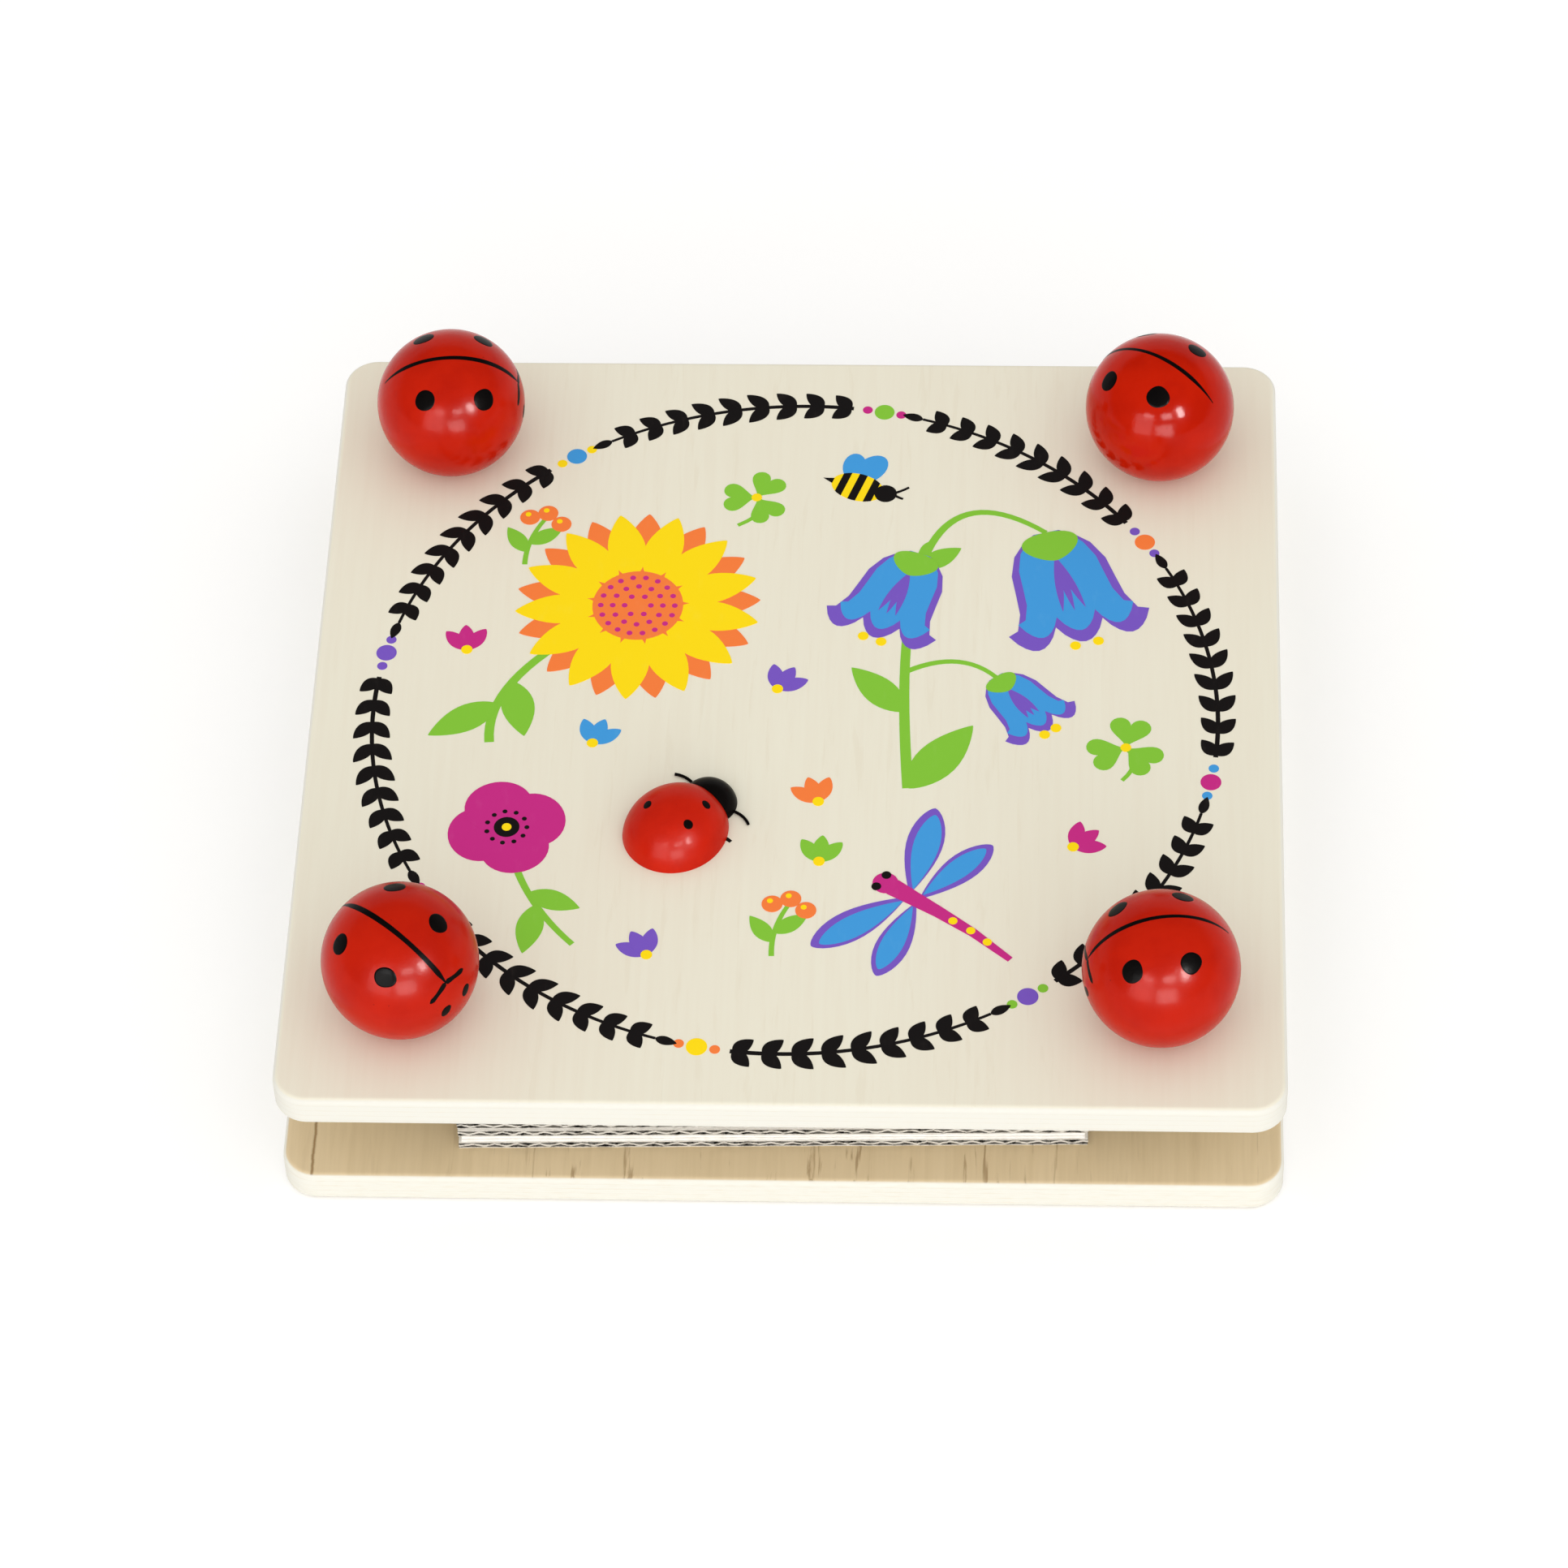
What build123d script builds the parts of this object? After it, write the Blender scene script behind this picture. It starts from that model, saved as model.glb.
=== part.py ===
from build123d import *
from math import cos, radians, sin, sqrt
import os

# Flower press in millimetres, +Z up, origin at the centre of the underside

# Boards
board_width = 160.0
board_depth = 160.0
board_thickness = 6.0
board_corner_radius = 5.5
board_edge_round = 1.0
bolt_inset = 20.0             # board edge to bolt axis

# Bolts: countersunk machine screws, up through the bottom board
bolt_diameter = 6.0
bolt_length = 45.0
bolt_head_diameter = 12.0
bolt_head_rim = 0.4           # straight edge of the head
bolt_head_recess = 0.3        # head above the underside
bolt_tip_chamfer = 0.8
bolt_seat_clearance = 0.05    # around the bolt in the bottom board
bolt_hole_clearance = 0.4     # around the bolt in the top board
recess_span = 6.4             # cross recess in the head
recess_slot = 1.3
recess_depth = 2.2

# Ball knobs
knob_diameter = 25.0
knob_flat_diameter = 13.0
knob_bore_clearance = 0.4     # around the bolt above the insert
knob_bore_margin = 1.5        # bore beyond the bolt's tip

# Threaded inserts in the knobs
insert_diameter = 9.0
insert_length = 13.0
insert_flange_diameter = 11.0
insert_flange_thickness = 1.0
insert_recess = 0.2           # flange above the knob's flat
insert_glue_gap = 0.03
insert_thread_clearance = 0.05

# Corrugated cards and blotters
card_count = 6
card_margin = 7.0             # board edge to card edge
card_thickness = 1.5
liner_thickness = 0.25
flute_pitch = 3.65
flute_wall = 0.25
flute_lean = 0.3              # slope of a flute's side
flute_edge_margin = 1.5
blotter_thickness = 0.5
blotter_inset = 0.5           # card edge to blotter edge
sheet_bolt_clearance = 6.7    # bolt to the sides of a sheet's corner notch
notch_corner_radius = 12.0
stack_turn_deg = 1.2          # the loose sheets lie slightly askew
stack_shift_x = -3.0

# Ladybird on the top board
ladybird_x = -18.6
ladybird_y = -24.7
ladybird_heading_deg = 50.0
ladybird_rear_length = 8.8
ladybird_front_length = 9.4
ladybird_half_width = 8.4
ladybird_axis_drop = 1.0      # long axis below the board's face
head_radius = 4.8
head_axis_drop = 0.8
head_reach = 3.5              # head beyond the body's front
ladybird_glue_gap = 0.05
antenna_diameter = 0.5
antenna_length = 3.5
antenna_root_angle_deg = 75.0
antenna_bend_deg = 23.0
antenna_gap = 0.05            # antenna above the board's face

# Places that follow from the sizes
blotter_count = 2 * (card_count - 1)
stack_height = card_count * card_thickness + blotter_count * blotter_thickness
top_board_z = board_thickness + stack_height
top_face_z = top_board_z + board_thickness
bolt_radius = bolt_diameter / 2
bolt_head_radius = bolt_head_diameter / 2
bolt_head_height = bolt_head_rim + bolt_head_radius - bolt_radius
bolt_tip_z = bolt_head_recess + bolt_length
bolt_x = board_width / 2 - bolt_inset
bolt_y = board_depth / 2 - bolt_inset
corners = {
    "front_left": (-bolt_x, -bolt_y),
    "front_right": (bolt_x, -bolt_y),
    "back_left": (-bolt_x, bolt_y),
    "back_right": (bolt_x, bolt_y),
}
knob_radius = knob_diameter / 2
knob_centre_height = sqrt(knob_radius**2 - (knob_flat_diameter / 2) ** 2)
card_width = board_width - 2 * card_margin
card_depth = board_depth - 2 * card_margin
notch_width = card_width / 2 - bolt_x + bolt_radius + sheet_bolt_clearance
notch_depth = card_depth / 2 - bolt_y + bolt_radius + sheet_bolt_clearance


def turned(points):
    """Solid of revolution about Z from an outline of radius and height."""
    outline = Polyline(*[(radius, 0, height) for radius, height in points], close=True)
    return revolve(make_face(outline), Axis.Z)


def place_at_corners(shape):
    """Copies of a shape at the four bolt axes."""
    return [Pos(x, y, 0) * shape for x, y in corners.values()]


def board():
    """Square board with rounded corners and eased edges, lying on the plane z = 0."""
    plate = extrude(RectangleRounded(board_width, board_depth, board_corner_radius), board_thickness)
    rims = plate.faces().sort_by(Axis.Z)
    return fillet(rims[0].outer_wire().edges() + rims[-1].outer_wire().edges(), board_edge_round)


def bolt_outline(clearance, head_z, tip_z):
    """Half outline of a countersunk bolt, grown all round by a clearance."""
    rim = bolt_head_radius + clearance
    shank = bolt_radius + clearance
    return [
        (0, head_z),
        (rim, head_z),
        (rim, bolt_head_recess + bolt_head_rim),
        (shank, bolt_head_recess + bolt_head_height),
        (shank, tip_z),
        (0, tip_z),
    ]


def bolt():
    """Countersunk bolt with a cross recess, standing on its own axis."""
    body = turned(bolt_outline(0, bolt_head_recess, bolt_tip_z))
    body = chamfer(body.edges().group_by(Axis.Z)[-1], bolt_tip_chamfer)
    arm = Box(recess_span, recess_slot, 2 * recess_depth)
    cross = Pos(0, 0, bolt_head_recess) * (arm + Rot(0, 0, 90) * arm)
    return body - cross


def bottom_board():
    """Lower board with a countersunk hole for each bolt."""
    seat = turned(bolt_outline(bolt_seat_clearance, 0, board_thickness))
    return board() - place_at_corners(seat)


def top_board():
    """Upper board with a plain clearance hole for each bolt."""
    hole = Cylinder(bolt_radius + bolt_hole_clearance, 2 * board_thickness)
    return Pos(0, 0, top_board_z) * (board() - place_at_corners(hole))


def insert():
    """Flanged threaded insert on the knob's axis, its flange near the knob's flat."""
    bore = bolt_radius + insert_thread_clearance
    body = insert_diameter / 2
    flange = insert_flange_diameter / 2
    shoulder = insert_recess + insert_flange_thickness
    return turned([
        (bore, insert_recess),
        (flange, insert_recess),
        (flange, shoulder),
        (body, shoulder),
        (body, insert_recess + insert_length),
        (bore, insert_recess + insert_length),
    ])


def knob():
    """Ball with a flat base, a pocket for the insert and a blind bore for the bolt."""
    ball = Pos(0, 0, knob_centre_height) * Sphere(knob_radius)
    ball = split(ball, Plane.XY, keep=Keep.TOP)
    pocket = insert_diameter / 2 + insert_glue_gap
    counterbore = insert_flange_diameter / 2 + insert_glue_gap
    shoulder = insert_recess + insert_flange_thickness + insert_glue_gap
    bore = bolt_radius + knob_bore_clearance
    bore_depth = bolt_tip_z - top_face_z + knob_bore_margin
    cavity = turned([
        (0, 0),
        (counterbore, 0),
        (counterbore, shoulder),
        (pocket, shoulder),
        (pocket, insert_recess + insert_length + insert_glue_gap),
        (bore, insert_recess + insert_length + insert_glue_gap),
        (bore, bore_depth),
        (0, bore_depth),
    ])
    return ball - cavity


def notched(sheet, inset, thickness):
    """Sheet with a rounded notch out of each corner, well clear of the bolts."""
    corner_x = card_width / 2 - inset
    corner_y = card_depth / 2 - inset
    outline = RectangleRounded(2 * notch_width, 2 * notch_depth, notch_corner_radius)
    notch = extrude(outline, thickness, both=True)
    places = [(x, y) for x in (-corner_x, corner_x) for y in (-corner_y, corner_y)]
    return sheet - [Pos(x, y, thickness / 2) * notch for x, y in places]


def flute_hole(x, opens_down):
    """Outline of one flute's hollow, on the cross-section in XZ."""
    half = flute_pitch / 4 - flute_wall / 2
    low = liner_thickness if opens_down else liner_thickness + flute_wall
    high = card_thickness - liner_thickness - (flute_wall if opens_down else 0)
    lean = flute_lean if opens_down else -flute_lean
    return Wire.make_polygon([
        (x - half - lean / 2, 0, low),
        (x + half + lean / 2, 0, low),
        (x + half - lean / 2, 0, high),
        (x - half + lean / 2, 0, high),
    ])


def card():
    """Corrugated card on the plane z = 0, its flutes running from front to back."""
    half_width = card_width / 2
    section = Wire.make_polygon([
        (-half_width, 0, 0),
        (half_width, 0, 0),
        (half_width, 0, card_thickness),
        (-half_width, 0, card_thickness),
    ])
    holes = 2 * int((card_width - 2 * flute_edge_margin) / flute_pitch)
    step = flute_pitch / 2
    first = -step * (holes - 1) / 2
    hollows = [flute_hole(first + step * i, i % 2 == 0) for i in range(holes)]
    sheet = extrude(Face(section, hollows), card_depth / 2, dir=(0, 1, 0), both=True)
    return notched(sheet, 0, card_thickness)


def blotter():
    """Sheet of blotting paper on the plane z = 0."""
    width = card_width - 2 * blotter_inset
    depth = card_depth - 2 * blotter_inset
    sheet = extrude(Rectangle(width, depth), blotter_thickness)
    return notched(sheet, blotter_inset, blotter_thickness)


def stack_place(height):
    """Frame of a sheet in the stack, at a height."""
    return Pos(stack_shift_x, 0, height) * Rot(0, 0, stack_turn_deg)


def ladybird_place():
    """Frame of the ladybird on the top face, X along its heading."""
    return Pos(ladybird_x, ladybird_y, top_face_z) * Rot(0, 0, ladybird_heading_deg)


def egg(grow):
    """Upper part of the ladybird's egg shape, grown all round by a gap."""
    width = ladybird_half_width + grow
    rear = EllipticalCenterArc((0, 0), ladybird_rear_length + grow, width, start_angle=90, arc_size=90)
    front = EllipticalCenterArc((0, 0), ladybird_front_length + grow, width, start_angle=0, arc_size=90)
    axis = Line(rear @ 1, front @ 0)
    shape = revolve(make_face([rear, front, axis]), Axis.X)
    return split(Pos(0, 0, -ladybird_axis_drop) * shape, Plane.XY, keep=Keep.TOP)


def dome(grow):
    """Upper part of the ladybird's round head, grown all round by a gap."""
    x = ladybird_front_length + head_reach - head_radius
    ball = Pos(x, 0, -head_axis_drop) * Sphere(head_radius + grow)
    return split(ball, Plane.XY, keep=Keep.TOP)


def antenna(side):
    """Bowed feeler from under the head, lying along the board's face."""
    angle = radians(antenna_root_angle_deg) * side
    tip_angle = angle + radians(antenna_bend_deg) * side
    height = antenna_diameter / 2 + antenna_gap
    x = ladybird_front_length + head_reach - head_radius
    root = Vector(x, 0, height)
    knee = root + Vector(cos(angle), sin(angle), 0) * head_radius
    tip = knee + Vector(cos(tip_angle), sin(tip_angle), 0) * antenna_length
    bend = TangentArc(knee, tip, tangent=(cos(angle), sin(angle), 0))
    path = Wire([Line(root, knee), bend])
    feeler = sweep(Plane(root, z_dir=path % 0) * Circle(antenna_diameter / 2), path)
    return feeler - dome(ladybird_glue_gap) - egg(ladybird_glue_gap)


def write(name, shape):
    """Write one node."""
    export_step(shape, f"parts/{name}.step")


os.makedirs("parts", exist_ok=True)

write("bottom_board", bottom_board())
write("top_board", top_board())
write("bolts", Compound(children=place_at_corners(bolt())))

for corner, (x, y) in corners.items():
    write(f"knob_{corner}", Pos(x, y, top_face_z) * knob())
    write(f"insert_{corner}", Pos(x, y, top_face_z) * insert())

# Each card has a blotter on its inner faces, with the flowers between two blotters
level = board_thickness
blotters = 0
for i in range(card_count):
    if i > 0:
        blotters += 1
        write(f"blotter_{blotters}", stack_place(level) * blotter())
        level += blotter_thickness
    write(f"card_{i + 1}", stack_place(level) * card())
    level += card_thickness
    if i < card_count - 1:
        blotters += 1
        write(f"blotter_{blotters}", stack_place(level) * blotter())
        level += blotter_thickness

place = ladybird_place()
write("ladybird_body", place * egg(0))
write("ladybird_head", place * (dome(0) - egg(ladybird_glue_gap)))
write("ladybird_antenna_left", place * antenna(1))
write("ladybird_antenna_right", place * antenna(-1))
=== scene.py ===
import math
import random

import bpy
from mathutils import Euler, Matrix, Vector
from mathutils.geometry import tessellate_polygon


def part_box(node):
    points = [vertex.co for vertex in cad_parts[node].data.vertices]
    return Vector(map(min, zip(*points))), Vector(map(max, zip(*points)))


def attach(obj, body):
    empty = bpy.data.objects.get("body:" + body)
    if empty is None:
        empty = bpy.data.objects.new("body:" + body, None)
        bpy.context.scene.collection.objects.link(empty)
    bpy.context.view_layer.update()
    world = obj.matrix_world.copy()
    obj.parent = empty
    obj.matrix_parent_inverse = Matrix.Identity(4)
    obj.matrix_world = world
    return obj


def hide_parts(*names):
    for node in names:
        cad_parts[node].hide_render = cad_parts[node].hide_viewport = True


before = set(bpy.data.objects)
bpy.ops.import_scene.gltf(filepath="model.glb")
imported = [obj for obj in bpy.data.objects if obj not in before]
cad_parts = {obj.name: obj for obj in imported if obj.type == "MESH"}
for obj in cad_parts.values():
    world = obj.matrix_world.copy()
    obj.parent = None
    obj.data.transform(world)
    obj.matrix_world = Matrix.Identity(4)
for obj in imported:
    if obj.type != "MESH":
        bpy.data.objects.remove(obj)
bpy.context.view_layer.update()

# Flower press. Lengths are in millimetres until a mesh is made
scene = bpy.context.scene
MM = 0.001
CORNERS = ("front_left", "front_right", "back_left", "back_right")


def node_range(node):
    """Lowest and highest corner of a CAD node in millimetres."""
    low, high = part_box(node)
    return low / MM, high / MM


# Sizes read from the CAD nodes
board_low, board_high = node_range("top_board")
top_face = board_high.z
knob_low, knob_high = node_range("knob_front_left")
knob_radius = (knob_high.x - knob_low.x) / 2
knob_centre_z = knob_high.z - knob_radius


# Colours and materials

def srgb(red, green, blue):
    """Linear colour from an sRGB one written 0 to 255."""
    def linear(value):
        value /= 255
        return value / 12.92 if value <= 0.04045 else ((value + 0.055) / 1.055) ** 2.4
    return (linear(red), linear(green), linear(blue), 1)


def feed(node, inputs):
    """Gives a node's inputs plain values or other nodes' outputs, and returns its own outputs."""
    for key, value in inputs.items():
        if isinstance(value, bpy.types.NodeSocket):
            node.id_data.links.new(value, node.inputs[key])
        else:
            node.inputs[key].default_value = value
    return node.outputs


def ramp(tree, value, start, end, low, high, kind="SMOOTHSTEP"):
    """Value taken from one range to another, by a smooth or a straight step."""
    step = tree.nodes.new("ShaderNodeMapRange")
    step.interpolation_type = kind
    ranges = {"From Min": start, "From Max": end, "To Min": low, "To Max": high}
    return feed(step, {"Value": value, **ranges})["Result"]


def math_node(tree, operation, *values):
    """Result of a math node on outputs or plain numbers."""
    step = tree.nodes.new("ShaderNodeMath")
    step.operation = operation
    return feed(step, dict(enumerate(values)))["Value"]


class Graph:
    """Material with short calls for the nodes that it needs."""

    def __init__(self, name, roughness, metallic=0.0, specular=0.5):
        self.material = bpy.data.materials.new(name)
        self.material.use_nodes = True
        self.tree = self.material.node_tree
        self.nodes = self.tree.nodes
        self.place = self.nodes.new("ShaderNodeTexCoord").outputs
        self.shader = self.nodes["Principled BSDF"]
        feed(self.shader, {"Roughness": roughness, "Metallic": metallic, "Specular IOR Level": specular})

    def noise(self, scale, stretch=(1, 1, 1), detail=4.0, roughness=0.55, offset=0.0, distortion=0.0):
        """Noise in object space, with a scale per metre on each axis."""
        mapping = feed(self.nodes.new("ShaderNodeMapping"), {
            "Vector": self.place["Object"], "Scale": stretch, "Location": (offset, offset, offset)})
        texture = feed(self.nodes.new("ShaderNodeTexNoise"), {
            "Vector": mapping["Vector"], "Scale": scale, "Detail": detail, "Roughness": roughness,
            "Distortion": distortion})
        return texture["Fac"]

    def span(self, value, start, end, low=0.0, high=1.0):
        """Smooth step of a value from start to end."""
        return ramp(self.tree, value, start, end, low, high)

    def math(self, operation, *values):
        """Result of a math node in this material."""
        return math_node(self.tree, operation, *values)

    def mix(self, share, first, second):
        """Colour between two colours or outputs."""
        step = self.nodes.new("ShaderNodeMix")
        step.data_type = "RGBA"
        return feed(step, {"Factor": share, 6: first, 7: second})[2]

    def axis(self, output, name):
        """One axis of a texture coordinate."""
        return feed(self.nodes.new("ShaderNodeSeparateXYZ"), {"Vector": self.place[output]})[name]

    def bump(self, height, strength, distance):
        """Relief from a height, with its depth in millimetres."""
        relief = feed(self.nodes.new("ShaderNodeBump"), {
            "Height": height, "Strength": strength, "Distance": distance * MM})
        feed(self.shader, {"Normal": relief["Normal"]})

    def colour(self, output):
        """Base colour from an output."""
        feed(self.shader, {"Base Color": output})


# Marks of a board's wood: a split in its veneer, the streaks of its heartwood, and its plies
SPLIT_PLACE = (-75.0, -58.0)
SPLIT_WANDER = 1.1
SPLIT_HALF = 0.4
SPLIT_SHADE = 0.85
SPLIT_TAPER = 8.0
HEARTWOOD_HALF = 30.0
HEARTWOOD_FADE = 30.0
PLY = 1.2


def veneer_split(graph, x, back):
    """Ragged split along Y at a place along X, from the front edge as far as back."""
    ragged = graph.noise(110, (0.3, 1, 0.3), detail=6, roughness=0.7, offset=13)
    across = graph.math("ADD", graph.axis("Object", "X"), -(x + SPLIT_WANDER / 2) * MM)
    wander = graph.math("MULTIPLY", ragged, SPLIT_WANDER * MM)
    away = graph.math("ABSOLUTE", graph.math("ADD", across, wander))
    line = graph.span(away, SPLIT_HALF * MM, 0, 0, SPLIT_SHADE)
    reach = graph.span(graph.axis("Object", "Y"), back * MM, (back - SPLIT_TAPER) * MM)
    return graph.math("MULTIPLY", line, reach)


def board_wood(name, pale, vein, pore, edge, glue, pore_share, low, split=None):
    """Plywood: grain along Y on the faces, thin plies on the edges."""
    graph = Graph(name, roughness=0.65, specular=0.12)
    grain = graph.noise(150, (6, 0.3, 6), detail=6)
    tone = graph.noise(16, (1.5, 0.5, 1), detail=3, offset=3)
    face = graph.mix(graph.span(grain, 0.3, 0.75, 0, 0.6), pale, vein)
    face = graph.mix(graph.span(tone, 0.4, 0.75, 0, 0.5), face, vein)
    pores = graph.span(graph.noise(210, (5, 0.2, 5), detail=3, offset=7), 0.66, 0.76, 0, 0.5)
    streaks = graph.noise(46, (16, 1.3, 16), detail=5, offset=11, distortion=0.4)
    streaks = graph.span(streaks, 0.57, 0.68)
    away = graph.math("ABSOLUTE", graph.axis("Object", "X"))
    heartwood = graph.span(away, (HEARTWOOD_HALF + HEARTWOOD_FADE) * MM, HEARTWOOD_HALF * MM, 0.1, 1)
    streaks = graph.math("MULTIPLY", streaks, heartwood)
    marks = graph.math("MULTIPLY", graph.math("MAXIMUM", pores, streaks), pore_share)
    face = graph.mix(marks, face, pore)
    if split:
        face = graph.mix(veneer_split(graph, *split), face, pore)
    height = graph.axis("Object", "Z")
    ply = graph.math("ADD", graph.math("MULTIPLY", height, 1 / (PLY * MM)), -low / PLY)
    line = graph.math("PINGPONG", ply, 0.5)
    fibre = graph.noise(700, (0.5, 0.5, 3), detail=3, offset=5)
    lines = graph.math("MULTIPLY", graph.span(line, 0.12, 0.0), graph.span(fibre, 0.3, 0.7, 0.1, 0.6))
    side = graph.mix(graph.span(fibre, 0.4, 0.85, 0, 0.16), edge, vein)
    side = graph.mix(graph.math("MULTIPLY", lines, 0.5), side, glue)
    tilt = graph.math("ABSOLUTE", graph.axis("Normal", "Z"))
    graph.colour(graph.mix(graph.span(tilt, 0.72, 0.94), side, face))
    relief = graph.math("ADD", grain, graph.math("MULTIPLY", marks, -1.5))
    graph.bump(relief, strength=0.12, distance=0.08)
    return graph.material


def gloss_paint(name, main, deep, fleck, roughness, specular=0.07, coat=0.05):
    """Hand-sprayed gloss paint that follows the grain of the wood under it."""
    graph = Graph(name, roughness=roughness, specular=specular)
    tone = graph.noise(120, detail=3)
    colour = graph.mix(graph.span(tone, 0.35, 0.7), main, deep)
    flecks = graph.span(graph.noise(900, detail=2, offset=4), 0.74, 0.8, 0, 0.6)
    graph.colour(graph.mix(flecks, colour, fleck))
    peel = graph.noise(420, detail=2, offset=9)
    grain = graph.noise(300, (4, 4, 0.6), detail=3, offset=6)
    graph.bump(graph.math("ADD", peel, grain), strength=0.2, distance=0.15)
    feed(graph.shader, {"Coat Weight": coat, "Coat Roughness": 0.1})
    return graph.material


def ink(colour, main, worn):
    """Screen-printed ink, a little uneven where the wood shows through."""
    graph = Graph(f"ink_{colour}", roughness=0.62, specular=0.08)
    cover = graph.noise(500, (1, 0.4, 1), detail=4)
    graph.colour(graph.mix(graph.span(cover, 0.55, 0.85, 0, 0.35), main, worn))
    graph.bump(graph.noise(1600, detail=2, offset=2), strength=0.05, distance=0.03)
    return graph.material


def paper(name, pale, dull, scale, depth, fleck=(0.35, 0.75)):
    """Paper with short fibres that turns dull over the span of its noise called fleck; in the hollows of
    the flutes that dull tone is near-black painted shade.
    """
    graph = Graph(name, roughness=0.9, specular=0.08)
    fibre = graph.noise(scale, detail=5, roughness=0.7)
    graph.colour(graph.mix(graph.span(fibre, *fleck), pale, dull))
    graph.bump(fibre, strength=0.3, distance=depth)
    return graph.material


def metal(name, bright, dull, roughness):
    """Turned metal with a slightly uneven polish."""
    graph = Graph(name, roughness=roughness, metallic=1.0)
    tone = graph.noise(300, (1, 1, 6), detail=4)
    graph.colour(graph.mix(graph.span(tone, 0.3, 0.75), bright, dull))
    polish = graph.span(tone, 0.3, 0.8, roughness - 0.06, roughness + 0.12)
    feed(graph.shader, {"Roughness": polish})
    graph.bump(graph.noise(900, (1, 1, 8), detail=2, offset=3), strength=0.06, distance=0.03)
    return graph.material


printed_wood = board_wood(
    "printed_wood", pale=srgb(236, 232, 214), vein=srgb(233, 227, 208), pore=srgb(222, 212, 188),
    edge=srgb(229, 227, 218), glue=srgb(214, 202, 176), pore_share=0.2, low=board_low.z)
bare_wood = board_wood(
    "bare_wood", pale=srgb(227, 206, 169), vein=srgb(215, 193, 154), pore=srgb(140, 106, 62),
    edge=srgb(233, 231, 221), glue=srgb(216, 201, 171), pore_share=0.6, low=0, split=SPLIT_PLACE)
BALL_ROUGHNESS = {"front_left": 0.27, "front_right": 0.25, "back_left": 0.23, "back_right": 0.15}
ball_paints = {}
for corner, roughness in BALL_ROUGHNESS.items():
    ball_paints[corner] = gloss_paint(
        f"red_paint_{corner}", srgb(190, 28, 3), srgb(179, 23, 2), srgb(112, 12, 4), roughness)
ladybird_paint = gloss_paint(
    "ladybird_paint", srgb(197, 29, 3), srgb(185, 24, 2), srgb(114, 12, 4), roughness=0.36)
black_paint = gloss_paint(
    "black_paint", srgb(10, 8, 8), srgb(15, 12, 11), srgb(28, 22, 20),
    roughness=0.3, specular=0.03, coat=0.02)
brass = metal("brass", srgb(205, 172, 96), srgb(170, 135, 66), roughness=0.3)
steel = metal("steel", srgb(196, 198, 200), srgb(150, 152, 155), roughness=0.32)
liner_paper = paper("liner_paper", srgb(244, 242, 238), srgb(226, 223, 217), 900, 0.06)
# Inner liner faces and wavy paper: grey paper with near-black flecks, which are painted shade in the
# hollows of the flutes
inner_paper_painted_shade = paper("inner_paper_painted_shade", srgb(150, 145, 136), srgb(20, 18, 16), 620, 0.08, (0.48, 0.6))
flute_paper_painted_shade = paper("flute_paper_painted_shade", srgb(166, 161, 152), srgb(36, 33, 29), 620, 0.08, (0.48, 0.6))
cut_paper = paper("cut_paper", srgb(216, 212, 204), srgb(134, 129, 121), 620, 0.08, (0.48, 0.7))
blotting_paper = paper("blotting_paper", srgb(252, 250, 247), srgb(243, 240, 234), 600, 0.1)
# Each ink where it covers well, and where it is worn
INK_COLOURS = {
    "black": (srgb(22, 18, 18), srgb(52, 46, 42)),
    "azure": (srgb(66, 156, 224), srgb(92, 170, 226)),
    "violet": (srgb(121, 87, 196), srgb(138, 108, 200)),
    "yellow": (srgb(255, 222, 16), srgb(252, 224, 62)),
    "orange": (srgb(248, 128, 62), srgb(245, 145, 88)),
    "magenta": (srgb(200, 43, 134), srgb(206, 74, 148)),
    "lime": (srgb(132, 198, 58), srgb(148, 203, 86)),
}
inks = {colour: ink(colour, *tones) for colour, tones in INK_COLOURS.items()}


# Meshes

class Shells:
    """Closed shells gathered into one mesh."""

    def __init__(self):
        self.points = []
        self.faces = []
        self.kinds = []

    def add(self, points, faces, kinds=None):
        """Adds a shell, with the number of each face's material if it isn't the first."""
        start = len(self.points)
        self.points += points
        self.faces += [[start + i for i in face] for face in faces]
        self.kinds += kinds or [0] * len(faces)

    def piece(self, name, body, slot, materials, sharp_deg):
        """Object of these shells on a body, with its edges sharp above an angle."""
        mesh = bpy.data.meshes.new(name)
        mesh.from_pydata([Vector(p) * MM for p in self.points], [], self.faces)
        for material in materials:
            mesh.materials.append(material)
        mesh.polygons.foreach_set("material_index", self.kinds)
        mesh.shade_smooth()
        mesh.set_sharp_from_angle(angle=math.radians(sharp_deg))
        mesh.update()
        obj = bpy.data.objects.new(name, mesh)
        scene.collection.objects.link(obj)
        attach(obj, body)
        return obj


def tube_faces(rings, count, capped=True):
    """Faces that join rings of points, with a cap at each end."""
    faces = []
    for ring in range(rings - 1):
        for i in range(count):
            j = (i + 1) % count
            low, high = ring * count, (ring + 1) * count
            faces.append([low + i, low + j, high + j, high + i])
    if capped:
        faces.append(list(range(count))[::-1])
        faces.append([(rings - 1) * count + i for i in range(count)])
    return faces


def slab(outline, low, high):
    """Closed flat shell between two heights: its sides, then its lower and upper face."""
    points = [(x, y, low) for x, y in outline] + [(x, y, high) for x, y in outline]
    return points, tube_faces(2, len(outline))


def four_ways(points):
    """Points in the plane, and again after each further quarter turn."""
    out = []
    for _ in range(4):
        out += points
        points = [(-y, x) for x, y in points]
    return out


def share_steps(count):
    """Even steps from 0 to 1."""
    return [i / (count - 1) for i in range(count)]


# Cards and blotters: loose sheets with a rounded notch out of each corner

CARD_HALF = 73.0
BLOTTER_INSET = 0.5
NOTCH = 22.7
NOTCH_ROUND = 12.0
NOTCH_STEPS = 10
STACK_SHIFT = Vector((-3.0, 0, 0))
STACK_TURN_DEG = 1.2
SHEET_STEP = 3.0
CUT_UNEVEN = 0.1
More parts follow.
